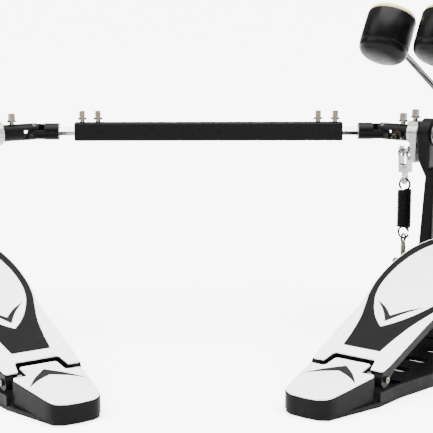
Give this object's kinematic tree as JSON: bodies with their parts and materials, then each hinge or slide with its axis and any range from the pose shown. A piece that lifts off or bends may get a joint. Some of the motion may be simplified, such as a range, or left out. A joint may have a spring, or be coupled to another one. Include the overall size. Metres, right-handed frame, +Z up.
{
  "type": "twin bass drum pedal",
  "caption": "Bass drum pedal set: a main pedal with paired beaters, linked by a telescoping shaft with universal joints to a slave pedal; chain drive, side springs and a hoop clamp.",
  "frame": {"origin": "on the floor, on the main pedal's centre line, under the front edge of its heel plate", "axes": "+X to the player's right, +Y from the heel towards the drum, +Z up"},
  "size_m": [0.6062, 0.5604, 0.3498],
  "materials": {
    "black_casting": "satin black paint",
    "dark_plate": "satin dark grey powder coat",
    "heel_casting": "satin black paint",
    "white_paint": "gloss white paint",
    "grip_pad": "satin black grip surface",
    "silver_casting": "fine cast, satin",
    "chrome_rod": "polished",
    "steel_axle": "turned",
    "nickel": "warm nickel plate",
    "bearing_steel": "turned",
    "black_steel": "black oxide",
    "chain_steel": "polished nickel plate",
    "spring_steel": "black oxide",
    "beater_shell": "satin moulded",
    "felt": "dense wool felt",
    "yoke_steel": "satin black"
  },
  "bodies": {
    "main_base": {"main_base_plate": "dark_plate", "main_heel_block": "heel_casting", "main_heel_cap": "white_paint", "main_fasteners": "nickel", "main_posts": "black_casting", "main_bearings": "bearing_steel", "spring_rods": "nickel", "hoop_clamp": "black_casting", "left_spring": "spring_steel", "right_spring": "spring_steel"},
    "clamp_jaw": {"hoop_jaw": "black_steel"},
    "clamp_screw": {"clamp_screw": "nickel"},
    "main_board": {"main_footboard": "black_casting", "main_footboard_top": "white_paint", "main_footboard_pad": "grip_pad"},
    "right_axle": {"right_axle": "steel_axle", "main_cam": "black_steel", "main_chain_wrap": "chain_steel", "right_beater_hub": "silver_casting", "right_spring_crank": "silver_casting", "right_key_bolts": "nickel"},
    "right_beater": {"right_beater_rod": "chrome_rod", "right_beater_head": "beater_shell", "right_beater_felt": "felt"},
    "left_axle": {"left_axle": "steel_axle", "left_beater_hub": "silver_casting", "left_spring_crank": "silver_casting", "left_axle_yoke": "yoke_steel", "left_key_bolts": "nickel", "main_joint_cross": "steel_axle"},
    "left_beater": {"left_beater_rod": "chrome_rod", "left_beater_head": "beater_shell", "left_beater_felt": "felt"},
    "main_chain": {"main_chain_run": "chain_steel"},
    "left_hanger": {"left_spring_hanger": "chrome_rod"},
    "right_hanger": {"right_spring_hanger": "chrome_rod"},
    "drive_main": {"main_shaft_yoke": "yoke_steel", "main_shaft_rod": "chrome_rod"},
    "drive_tube": {"drive_tube": "black_steel", "tube_bolts": "nickel", "slave_shaft_rod": "chrome_rod", "slave_shaft_yoke": "yoke_steel"},
    "slave_base": {"slave_base_plate": "dark_plate", "slave_heel_block": "heel_casting", "slave_heel_cap": "white_paint", "slave_fasteners": "nickel", "slave_posts": "black_casting", "slave_bearings": "bearing_steel"},
    "slave_axle": {"slave_axle": "steel_axle", "slave_cam": "black_steel", "slave_chain_wrap": "chain_steel", "slave_axle_hub": "silver_casting", "slave_axle_yoke": "yoke_steel", "slave_key_bolts": "nickel", "slave_joint_cross": "steel_axle"},
    "slave_board": {"slave_footboard": "black_casting", "slave_footboard_top": "white_paint", "slave_footboard_pad": "grip_pad"},
    "slave_chain": {"slave_chain_run": "chain_steel"}
  },
  "joints": [
    {"name": "right_axle_spin", "type": "hinge", "parent": "main_base", "child": "right_axle", "pos_m": [0, 0.265, 0.21], "axis": [-1, 0, 0], "range_deg": [0, 66], "stiffness_Nm_per_rad": 0.5, "springref_deg": -51.57},
    {"name": "main_press", "type": "hinge", "parent": "main_base", "child": "main_board", "pos_m": [0, 0.012, 0.022], "axis": [-1, 0, 0], "range_deg": [0, 7.03]},
    {"name": "main_chain_swing", "type": "hinge", "parent": "right_axle", "child": "main_chain", "pos_m": [0, 0.29581, 0.22437], "axis": [-1, 0, 0], "range_deg": [-76.12, 0]},
    {"name": "left_axle_spin", "type": "hinge", "parent": "main_base", "child": "left_axle", "pos_m": [0, 0.265, 0.21], "axis": [-1, 0, 0], "range_deg": [0, 66], "stiffness_Nm_per_rad": 0.6, "springref_deg": -51.57},
    {"name": "right_beater_height", "type": "slide", "parent": "right_axle", "child": "right_beater", "axis": [0, -0.8746, 0.4848], "range_m": [-0.015, 0.012]},
    {"name": "left_beater_height", "type": "slide", "parent": "left_axle", "child": "left_beater", "axis": [0, -0.8746, 0.4848], "range_m": [-0.015, 0.012]},
    {"name": "right_hanger_lift", "type": "slide", "parent": "main_base", "child": "right_hanger", "axis": [0, -0.7071, 0.7071], "range_m": [0, 0.02181], "deforming": ["right_spring"]},
    {"name": "left_hanger_lift", "type": "slide", "parent": "main_base", "child": "left_hanger", "axis": [0, -0.7071, 0.7071], "range_m": [0, 0.02181], "deforming": ["left_spring"]},
    {"name": "clamp_screw_turn", "type": "hinge", "parent": "main_base", "child": "clamp_screw", "pos_m": [0, 0.279, 0], "axis": [0, 0, 1], "range_deg": [0, 600]},
    {"name": "clamp_jaw_close", "type": "hinge", "parent": "main_base", "child": "clamp_jaw", "pos_m": [0, 0.296, 0.03], "axis": [-1, 0, 0], "range_deg": [0, 7.01]},
    {"name": "drive_main_spin", "type": "hinge", "parent": "main_base", "child": "drive_main", "pos_m": [-0.113, 0.265, 0.21], "axis": [-0.7878, -0.6159, 0], "range_deg": [0, 54.2]},
    {"name": "shaft_length", "type": "slide", "parent": "main_base", "child": "slave_base", "axis": [-0.7878, -0.6159, 0], "range_m": [-0.015, 0.06]},
    {"name": "drive_tube_spin", "type": "hinge", "parent": "slave_base", "child": "drive_tube", "pos_m": [-0.4132, 0.03029, 0.21], "axis": [-0.7878, -0.6159, 0], "range_deg": [0, 54.2]},
    {"name": "slave_axle_spin", "type": "hinge", "parent": "slave_base", "child": "slave_axle", "pos_m": [-0.45202, -0.07637, 0.21], "axis": [-0.342, -0.9397, 0], "range_deg": [0, 62.2]},
    {"name": "slave_press", "type": "hinge", "parent": "slave_base", "child": "slave_board", "pos_m": [-0.21428, -0.1629, 0.022], "axis": [-0.342, -0.9397, 0], "range_deg": [0, 6.71]},
    {"name": "slave_chain_swing", "type": "hinge", "parent": "slave_axle", "child": "slave_chain", "pos_m": [-0.48097, -0.06582, 0.22437], "axis": [-0.342, -0.9397, 0], "range_deg": [-71.23, 0]}
  ],
  "couplings": [
    {"joint": "main_press", "follows": "right_axle_spin", "ratio": 0.10638},
    {"joint": "main_chain_swing", "follows": "right_axle_spin", "ratio": -1.1526},
    {"joint": "right_hanger_lift", "follows": "right_axle_spin", "m_per_rad": 0.018912},
    {"joint": "left_hanger_lift", "follows": "left_axle_spin", "m_per_rad": 0.018912},
    {"joint": "drive_main_spin", "follows": "left_axle_spin", "ratio": 0.82104},
    {"joint": "drive_tube_spin", "follows": "left_axle_spin", "ratio": 0.82104},
    {"joint": "slave_axle_spin", "follows": "left_axle_spin", "ratio": 0.9423},
    {"joint": "slave_press", "follows": "left_axle_spin", "ratio": 0.10156},
    {"joint": "slave_chain_swing", "follows": "left_axle_spin", "ratio": -1.0784},
    {"joint": "clamp_jaw_close", "follows": "clamp_screw_turn", "ratio": 0.011667}
  ]
}
